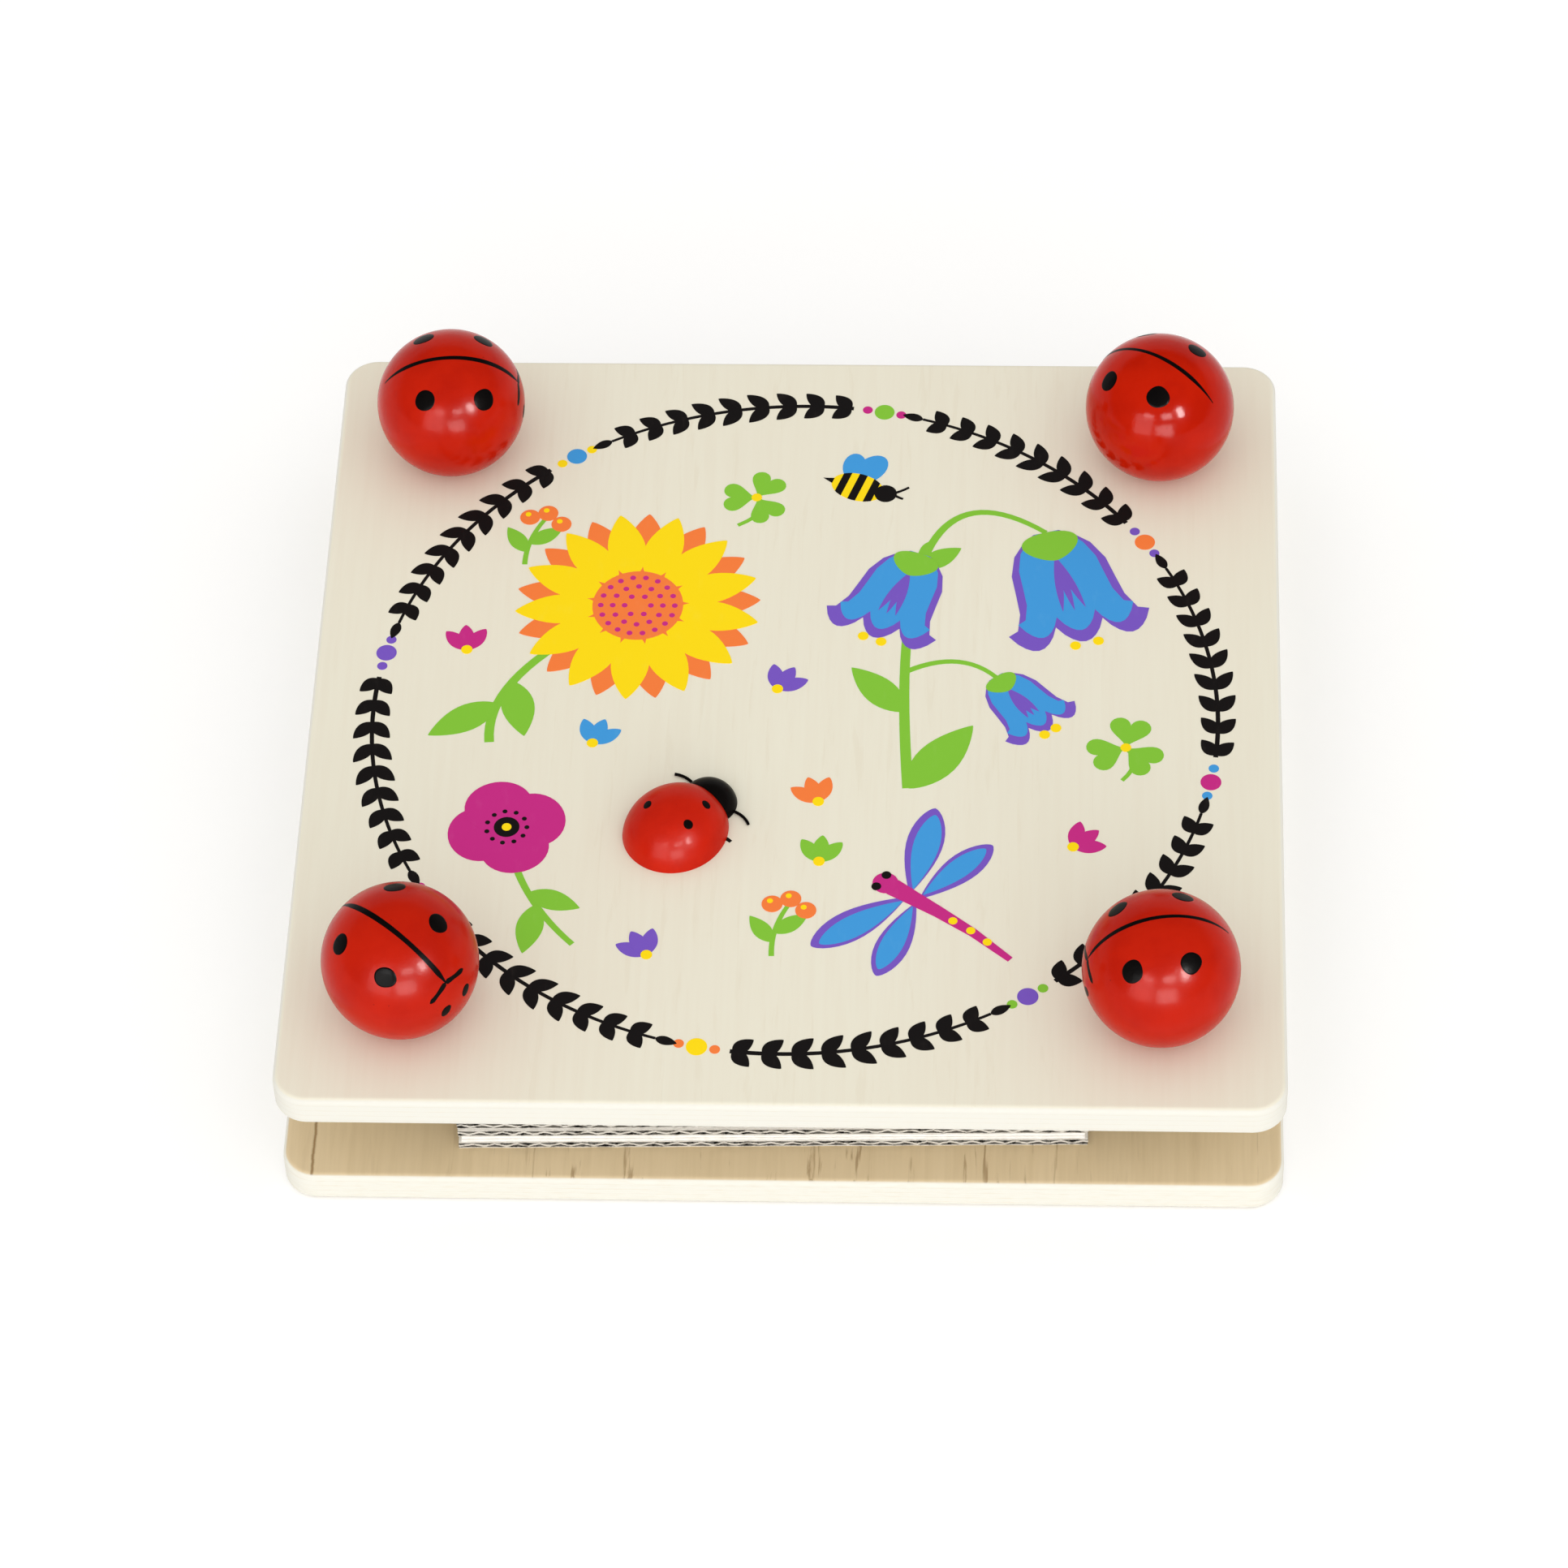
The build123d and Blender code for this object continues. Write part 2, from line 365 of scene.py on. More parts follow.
# How far each sheet is slipped back, from the lowest up
CARD_SLIPS = (0.0, 0.45, 0.1, 0.3, 0.15, 0.35)
BLOTTER_SLIPS = (-0.3, -0.1, 0.8, 0.7, 0.3, 0.5, 0.1, 0.4, 0.3, 0.2)
CARD_SEED = 100
BLOTTER_SEED = 200
SHEET_SHARP_DEG = 40
# Wavy paper in a card, with a slow drift along it and shallow dents
LINER = 0.2
FLUTE_PITCH = 3.65
FLUTE_WALL = 0.42
FLUTE_SHARP = 0.97
FLUTE_STEPS = 14
DRIFT = 0.5
DRIFT_WAVES = 8
DRIFT_RATE = 1.7
DENT_SHARE = 0.15
DENT_RATES = (17, 29, 41)
# Faces of a card by the paper they take; INSIDE and WAVE faces carry painted shade for the flute hollows
OUTSIDE, INSIDE, CUT, WAVE = 0, 1, 2, 3


def on_stack(points, slip):
    """Points of a sheet put where the askew stack lies, slipped back a little."""
    turn = Matrix.Rotation(math.radians(STACK_TURN_DEG), 3, "Z")
    return [tuple(turn @ Vector((x, y + slip, z)) + STACK_SHIFT) for x, y, z in points]


def layer_body(layer):
    """Body that carries a layer of the stack: the lowest lies on the base."""
    return "base" if layer == 1 else f"layer_{layer}"


def sheet_outline(half, draw):
    """Outline of a notched sheet, cut slightly unevenly."""
    side = half - NOTCH
    centre = side + NOTCH_ROUND
    edge = [(-side + 2 * side * s, -half) for s in share_steps(int(2 * side / SHEET_STEP))]
    bend = []
    for s in share_steps(NOTCH_STEPS):
        turn = math.radians(90 * s)
        bend.append((centre - NOTCH_ROUND * math.cos(turn), -centre + NOTCH_ROUND * math.sin(turn)))

    def trimmed(length):
        return length * (1 - draw.uniform(0, CUT_UNEVEN) / half)

    return [(trimmed(x), trimmed(y)) for x, y in four_ways(edge + bend)]


def arm_reach(x):
    """Half depth of a card at a place along X, in the arms beyond its notches."""
    centre = CARD_HALF - NOTCH + NOTCH_ROUND
    return centre - math.sqrt(NOTCH_ROUND**2 - max(0, centre - abs(x)) ** 2)


def full_reach(_):
    """Half depth of a card between its notches."""
    return CARD_HALF


def flute_wave(low, high, draw):
    """Height of the wavy paper in a card, as a function of the place along X."""
    middle = (low + high) / 2
    swing = (high - low - 2 * LINER - FLUTE_WALL) / 2
    phase = draw.uniform(0, 2 * math.pi)
    drifts = [draw.uniform(-DRIFT, DRIFT) for _ in range(DRIFT_WAVES)]
    dents = [draw.uniform(0, 2 * math.pi) for _ in DENT_RATES]

    def height(x):
        share = x / CARD_HALF
        drift = sum(w * math.sin((i + 1) * share * DRIFT_RATE + i) for i, w in enumerate(drifts))
        dent = sum(math.sin(rate * share + d) for rate, d in zip(DENT_RATES, dents)) / len(dents)
        wave = math.sin(2 * math.pi * x / FLUTE_PITCH + phase + drift)
        zigzag = math.asin(FLUTE_SHARP * wave) / math.asin(FLUTE_SHARP)
        return middle + swing * (1 - DENT_SHARE + DENT_SHARE * dent) * zigzag

    return height


def flute_strip(start, end, reach, height, draw, slip):
    """Closed strip of wavy paper along X, its front and back cut slightly unevenly."""
    count = int((end - start) / FLUTE_PITCH * FLUTE_STEPS)
    points = []
    for s in share_steps(count):
        x = start + (end - start) * s
        front = -reach(x) + draw.uniform(0, CUT_UNEVEN)
        back = reach(x) - draw.uniform(0, CUT_UNEVEN)
        low, high = height(x) - FLUTE_WALL / 2, height(x) + FLUTE_WALL / 2
        points += [(x, front, low), (x, back, low), (x, back, high), (x, front, high)]
    kinds = [WAVE, CUT, WAVE, CUT] * (count - 1) + [CUT, CUT]
    return on_stack(points, slip), tube_faces(count, 4), kinds


def card(number, slip):
    """Two flat liners with wavy paper between them."""
    node = f"card_{number}"
    low, high = node_range(node)
    draw = random.Random(CARD_SEED + number)
    shells = Shells()
    for start, end, inner in ((low.z, low.z + LINER, 1), (high.z - LINER, high.z, 0)):
        outline = sheet_outline(CARD_HALF, draw)
        kinds = [CUT] * len(outline) + [OUTSIDE, OUTSIDE]
        kinds[len(outline) + inner] = INSIDE
        points, faces = slab(outline, start, end)
        shells.add(on_stack(points, slip), faces, kinds)
    height = flute_wave(low.z, high.z, draw)
    side = CARD_HALF - NOTCH
    strips = ((-CARD_HALF, -side, arm_reach), (-side, side, full_reach), (side, CARD_HALF, arm_reach))
    for start, end, reach in strips:
        shells.add(*flute_strip(start, end, reach, height, draw, slip))
    body = layer_body(number)
    # Inner liner faces and wavy paper take the papers with painted shade in the flute hollows
    papers = [liner_paper, inner_paper_painted_shade, cut_paper, flute_paper_painted_shade]
    piece = shells.piece(f"{node}_paper", body, "corrugated_card", papers, SHEET_SHARP_DEG)
    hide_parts(node)


def blotter(number, slip):
    """Flat sheet of blotting paper on one face of a card."""
    node = f"blotter_{number}"
    low, high = node_range(node)
    draw = random.Random(BLOTTER_SEED + number)
    points, faces = slab(sheet_outline(CARD_HALF - BLOTTER_INSET, draw), low.z, high.z)
    shells = Shells()
    shells.add(on_stack(points, slip), faces)
    body = layer_body(number // 2 + 1)
    piece = shells.piece(f"{node}_paper", body, "blotting_paper", [blotting_paper], SHEET_SHARP_DEG)
    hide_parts(node)


for number, slip in enumerate(CARD_SLIPS, 1):
    card(number, slip)
for number, slip in enumerate(BLOTTER_SLIPS, 1):
    blotter(number, slip)


# Bolts with a rolled thread and a cross recess

THREAD_PITCH = 1.0
THREAD_CREST = 2.98
THREAD_ROOT = 2.42
THREAD_SIDES = 32
# Rows of the thread: share of the pitch above the start of its turn, and share of its full depth
THREAD_ROWS = ((0.0, 1.0), (0.12, 1.0), (0.44, 0.0), (0.68, 0.0))
SHANK_START = 4.2
RUNOUT_START = 0.6
RUNOUT = 1.2
TIP_CHAMFER = 0.8
HEAD_RIM = 0.4
HEAD_RADIUS = 6.0
HEAD_EASE = 0.15
HEAD_EASE_RISE = 0.12
RECESS_SPAN = 6.4
RECESS_SLOT = 1.3
RECESS_DEPTH = 2.2
RECESS_TAPER = 0.7
BOLT_SHARP_DEG = 35
bolt_base, bolt_tip = (corner.z for corner in node_range("bolts"))


def thread_radius(z, depth):
    """Radius of the thread at a height, where it is cut to a share of its full depth."""
    runout = min(1, max(0, (z - SHANK_START - RUNOUT_START) / RUNOUT))
    radius = THREAD_CREST - (THREAD_CREST - THREAD_ROOT) * depth * runout
    return min(radius, THREAD_CREST - max(0, z - (bolt_tip - TIP_CHAMFER)))


def round_point(place, radius, turn, z):
    """Point at a part of a turn about an axis that stands at a place."""
    angle = 2 * math.pi * turn
    return place.x + radius * math.cos(angle), place.y + radius * math.sin(angle), z


def fan(hub, line):
    """Triangles from one point to each step of a line of points."""
    return [[hub, a, b] for a, b in zip(line, line[1:])]


def threaded_shank(place):
    """Head, shank and helical thread of a bolt, open where its recess is cut."""
    sides, rows = THREAD_SIDES, len(THREAD_ROWS)
    neck = bolt_base + HEAD_RIM + HEAD_RADIUS - THREAD_CREST
    profile = (
        (HEAD_RADIUS - HEAD_EASE, bolt_base), (HEAD_RADIUS, bolt_base + HEAD_EASE_RISE),
        (HEAD_RADIUS, bolt_base + HEAD_RIM), (THREAD_CREST, neck))
    points = [round_point(place, radius, i / sides, z) for radius, z in profile for i in range(sides)]
    shank = [len(points) - sides + i for i in range(sides)]
    # The first row of the next turn closes the last row of each turn
    turns = int((bolt_tip - TIP_CHAMFER - SHANK_START) / THREAD_PITCH) - 1
    last = turns * sides
    thread = {}
    for n in range(last + sides + 1):
        for row, (share, depth) in enumerate(THREAD_ROWS if n <= last else THREAD_ROWS[:1]):
            z = SHANK_START + THREAD_PITCH * (n / sides + share)
            thread[n, row] = len(points)
            points.append(round_point(place, thread_radius(z, depth), n / sides, z))
    for n in range(last + 1):
        thread[n, rows] = thread[n + sides, 0]
    tip = [len(points) + i for i in range(sides)]
    tip_radius = THREAD_CREST - TIP_CHAMFER
    points += [round_point(place, tip_radius, i / sides, bolt_tip) for i in range(sides)]
    # Faces from the head up to the tip, with a seam at each end of the thread
    faces = tube_faces(len(profile), sides, capped=False)
    for i in range(sides - 1):
        faces.append([shank[i], shank[i + 1], thread[i + 1, 0], thread[i, 0]])
    start_seam = [thread[0, row] for row in range(rows + 1)]
    faces += fan(thread[sides - 1, 0], [shank[-1], shank[0]] + start_seam)
    for n in range(last):
        for row in range(rows):
            keys = (n, row), (n + 1, row), (n + 1, row + 1), (n, row + 1)
            faces.append([thread[key] for key in keys])
    end_seam = [thread[last, row] for row in range(rows + 1)]
    faces += fan(thread[last + 1, 0], [tip[1], tip[0]] + end_seam[::-1])
    for i in range(1, sides):
        faces.append([thread[last + i, 0], thread[last + i + 1, 0], tip[(i + 1) % sides], tip[i]])
    faces.append(tip)
    return points, faces


def cross(place, scale, z):
    """Outline of the cross recess at a height."""
    arm, slot = RECESS_SPAN / 2 * scale, RECESS_SLOT / 2 * scale
    corner = [(arm, -slot), (arm, slot), (slot, slot)]
    return [(place.x + x, place.y + y, z) for x, y in four_ways(corner)]


def cut_recess(place, points, faces):
    """Closes a bolt's head with the cross recess in it."""
    mouth = cross(place, 1, bolt_base)
    bottom = cross(place, RECESS_TAPER, bolt_base + RECESS_DEPTH)
    start, count = len(points), len(mouth)
    points += mouth + bottom
    loops = list(range(THREAD_SIDES)), list(range(start, start + count))
    numbers = loops[0] + loops[1]
    for triangle in tessellate_polygon([[Vector(points[i]) for i in loop] for loop in loops]):
        a, b, c = (numbers[i] for i in triangle)
        pa, pb, pc = (Vector(points[i]) for i in (a, b, c))
        faces.append([a, b, c] if (pb - pa).cross(pc - pa).z < 0 else [a, c, b])
    for i in range(count):
        j = (i + 1) % count
        faces.append([start + j, start + i, start + count + i, start + count + j])
    faces.append([start + count + i for i in range(count)][::-1])


bolt_shells = Shells()
for corner in CORNERS:
    low, high = node_range(f"knob_{corner}")
    place = (low + high) / 2
    points, faces = threaded_shank(place)
    cut_recess(place, points, faces)
    bolt_shells.add(points, faces)
bolts = bolt_shells.piece("bolts_threaded", "base", "bolt_steel", [steel], BOLT_SHARP_DEG)
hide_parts("bolts")


# Painted marks: thin films that follow the paint below

FILM_RISE = 0.02
FILM_SINK = 0.08
FILM_EDGE = 0.06
FILM_THIN = 0.5
FILM_SHARP_DEG = 60
DAB_SIDES = 36
# Least and most swell of a dab's edge, with two, three and four waves round it
DAB_SWELLS = ((0.02, 0.05), (0.01, 0.035), (0.005, 0.02))
STROKE_EDGE = 0.1
STROKE_END = 0.25
STROKE_UNEVEN = 0.1
STROKE_WAVES = 9
STROKE_PHASES = 6


def dab_film(centre, radius, stretch, draw, surface):
    """Round dab of paint about a direction, with a slightly uneven edge."""
    first = centre.orthogonal().normalized()
    second = centre.cross(first)
    sides = DAB_SIDES
    shares = (0.3, 0.6, 0.85, 1, 1 + FILM_EDGE)
    phases = [draw.uniform(0, 2 * math.pi) for _ in DAB_SWELLS]
    waves = [(draw.uniform(*swell), phase) for swell, phase in zip(DAB_SWELLS, phases)]
    points = [surface(centre, FILM_RISE)]
    for share in shares:
        rise = FILM_RISE * (1 - FILM_THIN * share**4) if share <= 1 else -FILM_SINK
        for i in range(sides):
            t = 2 * math.pi * i / sides
            swell = sum(w * math.sin((k + 2) * t + p) for k, (w, p) in enumerate(waves))
            reach = radius * share * (1 + swell)
            offset = first * math.cos(t) * reach * stretch + second * math.sin(t) * reach / stretch
            points.append(surface((centre + offset).normalized(), rise))
    faces = [[0, 1 + i, 1 + (i + 1) % sides] for i in range(sides)]
    for ring in range(len(shares) - 1):
        for i in range(sides):
            j = (i + 1) % sides
            low, high = 1 + ring * sides, 1 + (ring + 1) * sides
            faces.append([low + i, high + i, high + j, low + j])
    faces.append([1 + (len(shares) - 1) * sides + i for i in range(sides)][::-1])
    return points, faces


def stroke_film(path, half, taper, draw, surface):
    """Brush stroke along directions on a ball, thinner at its ends."""
    across = (-1 - STROKE_EDGE, -1, 0, 1, 1 + STROKE_EDGE)
    points = []
    count = len(path)
    phase = draw.uniform(0, STROKE_PHASES)
    for k, direction in enumerate(path):
        ahead = path[min(k + 1, count - 1)] - path[max(k - 1, 0)]
        side = ahead.cross(direction).normalized()
        share = k / (count - 1)
        ends = min(1, min(share / taper[0], (1 - share) / taper[1]) * (1 - STROKE_END) + STROKE_END)
        width = half * ends * (1 + STROKE_UNEVEN * math.sin(STROKE_WAVES * share + phase))
        for a in across:
            rise = -FILM_SINK if abs(a) > 1 else FILM_RISE * (1 - FILM_THIN * abs(a))
            points.append(surface((direction + side * a * width).normalized(), rise))
    return points, tube_faces(count, len(across))


# Marks on the balls
MARKS_SEED = 300
# Turn of the pattern on each ball: heading, pitch, roll and the sideways lean of its spots, in degrees
BALL_TURNS = {
    "front_left": (-39.0, 4.2, 12.0, 0.0),
    "front_right": (-170.6, 8.2, 2.2, 4.4),
    "back_left": (5.1, 6.4, 5.6, -1.0),
    "back_right": (148.1, 10.4, -0.3, 0.0),
}
# Places on a ball, in degrees along its back and to its left side
BALL_SPOTS = ((26.4, 29.1), (26.4, -29.1), (-29.1, 30.8), (-29.1, -30.8))
BALL_EYES = ((85.3, 10.6), (85.3, -10.6))
TEE_END = (67.5, 18)
SPOT_RADIUS = 1.8
SPOT_NUDGE_DEG = 1.5
SPOT_SIZES = (0.95, 1.06)
SPOT_STRETCHES = (0.97, 1.04)
EYE_RADIUS = 1.0
EYE_STRETCH = 1.15
# Line between the wings: where it starts and ends along the back, and its bend, taper and half widths
WING_LINE = (-66, 62)
LINE_BEND_DEG = 0.8
LINE_BEND_RATE = 5
LINE_TAPER = (0.2, 0.08)
LINE_STEPS = 60
LINE_HALVES = {"front_left": 0.44, "front_right": 0.35, "back_left": 0.4, "back_right": 0.36}
TEE_HALF = 0.42
TEE_TAPER = (0.02, 0.12)
TEE_STEPS = 14


def ball_direction(along_deg, side_deg):
    """Direction on a ball, in degrees along the back and to its left side."""
    a, s = math.radians(along_deg), math.radians(side_deg)
    return Vector((math.sin(a) * math.cos(s), math.sin(s), math.cos(a) * math.cos(s)))


def ball_marks(corner, seed):
    """Spots, eyes and wing line with its tee on one ball."""
    low, high = node_range(f"knob_{corner}")
    centre = Vector(((low.x + high.x) / 2, (low.y + high.y) / 2, knob_centre_z))
    *turns, lean = BALL_TURNS[corner]
    heading, pitch, roll = (math.radians(a) for a in turns)
    turn = Euler((roll, pitch, heading), "XYZ").to_matrix()
    draw = random.Random(seed)

    def surface(direction, rise):
        return tuple(centre + turn @ direction * (knob_radius + rise))

    shells = Shells()
    for along, side in BALL_SPOTS:
        along += draw.uniform(-SPOT_NUDGE_DEG, SPOT_NUDGE_DEG)
        side += draw.uniform(-SPOT_NUDGE_DEG, SPOT_NUDGE_DEG) + lean
        size = SPOT_RADIUS * draw.uniform(*SPOT_SIZES) / knob_radius
        stretch = draw.uniform(*SPOT_STRETCHES)
        shells.add(*dab_film(ball_direction(along, side), size, stretch, draw, surface))
    for along, side in BALL_EYES:
        eye = ball_direction(along, side)
        shells.add(*dab_film(eye, EYE_RADIUS / knob_radius, EYE_STRETCH, draw, surface))
    start, end = WING_LINE
    bend = draw.uniform(-LINE_BEND_DEG, LINE_BEND_DEG)
    line = []
    for s in share_steps(LINE_STEPS):
        line.append(ball_direction(start + (end - start) * s, bend * math.sin(LINE_BEND_RATE * s)))
    shells.add(*stroke_film(line, LINE_HALVES[corner] / knob_radius, LINE_TAPER, draw, surface))
    for side in (-1, 1):
        along, reach = TEE_END
        arm = [ball_direction(end + (along - end) * s, side * reach * s) for s in share_steps(TEE_STEPS)]
        shells.add(*stroke_film(arm, TEE_HALF / knob_radius, TEE_TAPER, draw, surface))
    shells.piece(f"marks_{corner}", f"{corner}_knob", "knob_paint", [black_paint], FILM_SHARP_DEG)


for number, corner in enumerate(CORNERS):
    ball_marks(corner, MARKS_SEED + number)


# Spots on the ladybird's back, whose dome has these sizes in the solids too

DOME_PLACE = Vector((-18.6, -24.7, 0))
DOME_HEADING_DEG = 50.0
DOME_REAR = 8.8
DOME_FRONT = 9.4
DOME_WIDE = 8.4
DOME_DROP = 1.0
DOME_SPOTS = ((-22.8, -24.1), (-13.3, -23.5), (-16.0, -28.1))
DOME_SPOT_RADIUS = 0.8
DOME_SPOT_STRETCH = 1.03
DOME_SEED = 400
dome_turn = Matrix.Rotation(math.radians(DOME_HEADING_DEG), 3, "Z")


def dome_length(x):
    """Half length of the ladybird's dome, in front of its middle or behind it."""
    return DOME_FRONT if x > 0 else DOME_REAR


def dome_surface(direction, rise):
    """Point on the ladybird's dome towards a direction from its middle."""
    flat = math.hypot(direction.y, direction.z) / DOME_WIDE
    reach = 1 / math.hypot(direction.x / dome_length(direction.x), flat) + rise
    local = direction * reach + Vector((0, 0, -DOME_DROP))
    return tuple(dome_turn @ local + DOME_PLACE + Vector((0, 0, top_face)))


dome_shells = Shells()
dome_draw = random.Random(DOME_SEED)
for x, y in DOME_SPOTS:
    local = dome_turn.transposed() @ (Vector((x, y, 0)) - DOME_PLACE)
    share = 1 - (local.x / dome_length(local.x)) ** 2 - (local.y / DOME_WIDE) ** 2
    local.z = DOME_WIDE * math.sqrt(share)
    size = DOME_SPOT_RADIUS / local.length
    dome_shells.add(*dab_film(local.normalized(), size, DOME_SPOT_STRETCH, dome_draw, dome_surface))
dome_shells.piece("ladybird_spots", "top", "ladybird_black", [black_paint], FILM_SHARP_DEG)


# Printed garden on the top board, drawn as thin films of ink

INK_RISE = 0.03
INK_LAYER = 0.012
INK_STEP = 0.001
INK_STEPS = 7
INK_SHARP_DEG = 20
prints = {colour: [] for colour in inks}


def moved(outline, x, y, turn_deg=0.0):
    """Outline turned and put in place."""
    c, s = math.cos(math.radians(turn_deg)), math.sin(math.radians(turn_deg))
    return [(x + c * px - s * py, y + s * px + c * py) for px, py in outline]


def printed(colour, outline, layer=0, place=(0, 0)):
    """Adds an outline, put at a place and turn, to a colour's films: high layers lie on low ones."""
    prints[colour].append((moved(outline, *place), layer))


def disc(radius, sides=32, stretch=1.0):
    """Round outline, or an oval one stretched along X."""
    turns = [2 * math.pi * i / sides for i in range(sides)]
    return [(radius * stretch * math.cos(t), radius * math.sin(t)) for t in turns]


def blade(length, width, full, blunt, sides=18):
    """Leaf or petal from the origin along X; full moves its widest place, blunt rounds its ends."""
    def half(s):
        return width / 2 * max(0, math.sin(math.pi * s**full)) ** blunt
    shares = [(1 - math.cos(math.pi * s)) / 2 for s in share_steps(sides)]
    edge = [(length * s, half(s)) for s in shares]
    return edge[:1] + [(x, -y) for x, y in edge[1:-1]] + edge[:0:-1]


def bow(first, middle, last, count=20):
    """Points on a curve from first to last, drawn towards middle."""
    points = []
    for s in share_steps(count):
        p, q, r = (1 - s) ** 2, 2 * s * (1 - s), s * s
        x, y = (p * a + q * b + r * c for a, b, c in zip(first, middle, last))
        points.append((x, y))
    return points


def stroke(path, start, end):
    """Line of ink along points, from one width to another."""
    left, right = [], []
    for k, (x, y) in enumerate(path):
        ax, ay = path[max(k - 1, 0)]
        bx, by = path[min(k + 1, len(path) - 1)]
        length = math.hypot(bx - ax, by - ay)
        half = (start + (end - start) * k / (len(path) - 1)) / 2
        nx, ny = -(by - ay) / length * half, (bx - ax) / length * half
        left.append((x + nx, y + ny))
        right.append((x - nx, y - ny))
    return right + left[::-1]


def heart(size, sides=40):
    """Heart with its tip at the origin, pointing along X."""
    points = []
    for i in range(sides):
        t = 2 * math.pi * i / sides
        across = 16 * math.sin(t) ** 3
        along = 13 * math.cos(t) - 5 * math.cos(2 * t) - 2 * math.cos(3 * t) - math.cos(4 * t)
        points.append(((along + 17) / 29 * size, -across / 29 * size))
    return points


# Side of a bell flower up to its mouth: shares of its length and of its width
BELL_SIDE = ((0, 0.1), (0.06, 0.2), (0.16, 0.3), (0.32, 0.37), (0.5, 0.39), (0.66, 0.41), (0.8, 0.47))
BELL_MOUTH_HALF = 0.55
BELL_CLEFT = 0.83
BELL_LOBE = 0.17
BELL_LOBES = 3
BELL_LOBE_STEPS = 8


def bell(length, width):
    """Hanging bell flower from the origin along X, its mouth cut into lobes."""
    steps = BELL_LOBES * BELL_LOBE_STEPS
    rim = []
    for i in range(steps + 1):
        across = 2 * BELL_MOUTH_HALF * i / steps - BELL_MOUTH_HALF
        swing = abs(math.sin(math.pi * BELL_LOBES * i / steps))
        rim.append(((BELL_CLEFT + BELL_LOBE * swing**0.8) * length, across * width))
    lower = [(s * length, -w * width) for s, w in BELL_SIDE]
    upper = [(s * length, w * width) for s, w in BELL_SIDE]
    return lower + rim + upper[::-1]


def around(outline, count, radius, x, y, first_deg=0.0):
    """Copies of an outline that point outwards round a place."""
    out = []
    for i in range(count):
        turn = first_deg + 360 * i / count
        t = math.radians(turn)
        out.append(moved(outline, x + radius * math.cos(t), y + radius * math.sin(t), turn))
    return out


# Ring of leafy garlands with a trio of dots between them
RING_RADIUS = 69.6
GARLANDS = 8
GARLAND_DEG = 35.0
GARLAND_START_DEG = 11
STEM_WIDTHS = (0.8, 0.5)
LEAF_PAIRS = 9
LONGEST_LEAF = 3.5
LEAF_FORM = (0.8, 0.8)
LEAF_LENGTH = 4.9
LEAF_SHRINK = 0.9
LEAF_WIDTH = 2.5
LEAF_SPREAD_DEG = 42
END_LEAF = (3.6, 1.7)
DOT_RADIUS = 1.7
DOT_LEAD_DEG = 0.6
SIDE_DOT_RADIUS = 0.85
SIDE_DOT_DEG = 2.415
DOT_COLOURS = ("orange", "lime", "azure", "violet", "magenta", "yellow", "violet", "magenta")


def on_ring(angle_deg):
    """Place on the ring at an angle."""
    t = math.radians(angle_deg)
    return RING_RADIUS * math.cos(t), RING_RADIUS * math.sin(t)


for g in range(GARLANDS):
    middle = 360 / GARLANDS * g + GARLAND_START_DEG
    stem = [on_ring(middle + GARLAND_DEG * (s - 0.5)) for s in share_steps(30)]
    printed("black", stroke(stem, *STEM_WIDTHS))
    for k in range(LEAF_PAIRS):
        angle = middle + GARLAND_DEG * ((k + 0.1) / LEAF_PAIRS - 0.5)
        length = LEAF_LENGTH - LEAF_SHRINK * abs(k - LONGEST_LEAF) / LONGEST_LEAF
        for side in (1, -1):
            turn = angle + 90 - side * LEAF_SPREAD_DEG
            printed("black", blade(length, LEAF_WIDTH, *LEAF_FORM), 1, (*on_ring(angle), turn))
    end = middle + GARLAND_DEG / 2
    printed("black", blade(*END_LEAF, *LEAF_FORM), 1, (*on_ring(end), end + 90))
    gap = middle + 180 / GARLANDS + DOT_LEAD_DEG
    printed(DOT_COLOURS[g], disc(DOT_RADIUS), 0, on_ring(gap))
    for side in (-1, 1):
        place = on_ring(gap + side * SIDE_DOT_DEG)
        printed(DOT_COLOURS[(g + 3) % GARLANDS], disc(SIDE_DOT_RADIUS), 0, place)


def leafy_stem(path, start, end, leaves):
    """Lime stem with leaves: share along it, side, length and width."""
    printed("lime", stroke(path, start, end))
    for share, side, length, width in leaves:
        k = min(int(share * (len(path) - 1)), len(path) - 2)
        (ax, ay), (bx, by) = path[k], path[k + 1]
        turn = math.degrees(math.atan2(by - ay, bx - ax)) + side * LEAF_SPREAD_DEG
        printed("lime", blade(length, width, 0.85, 0.85), 1, (ax, ay, turn))


# Sunflower
SUN = (-27.0, 24.0)
SUN_PETALS = 13
SUN_TURN_DEG = 4
SUN_LEAVES = ((0.62, 1, 12, 5.5), (0.75, -1, 13, 5.5))
leafy_stem(bow(SUN, (-52, 10), (-50, -6)), 1.3, 1.6, SUN_LEAVES)
for petal in around(blade(13.5, 6.2, 0.9, 0.8), SUN_PETALS, 7.0, *SUN, SUN_TURN_DEG):
    printed("orange", petal, 2)
between = SUN_TURN_DEG + 180 / SUN_PETALS
for petal in around(blade(14.5, 6.4, 0.9, 0.8), SUN_PETALS, 6.0, *SUN, between):
    printed("yellow", petal, 3)
printed("orange", disc(7.6, 48), 4, SUN)
for ring, count in ((6.2, 18), (4.2, 12), (2.2, 6)):
    for dot in around(disc(0.5, 12), count, ring, *SUN):
        printed("magenta", dot, 5)

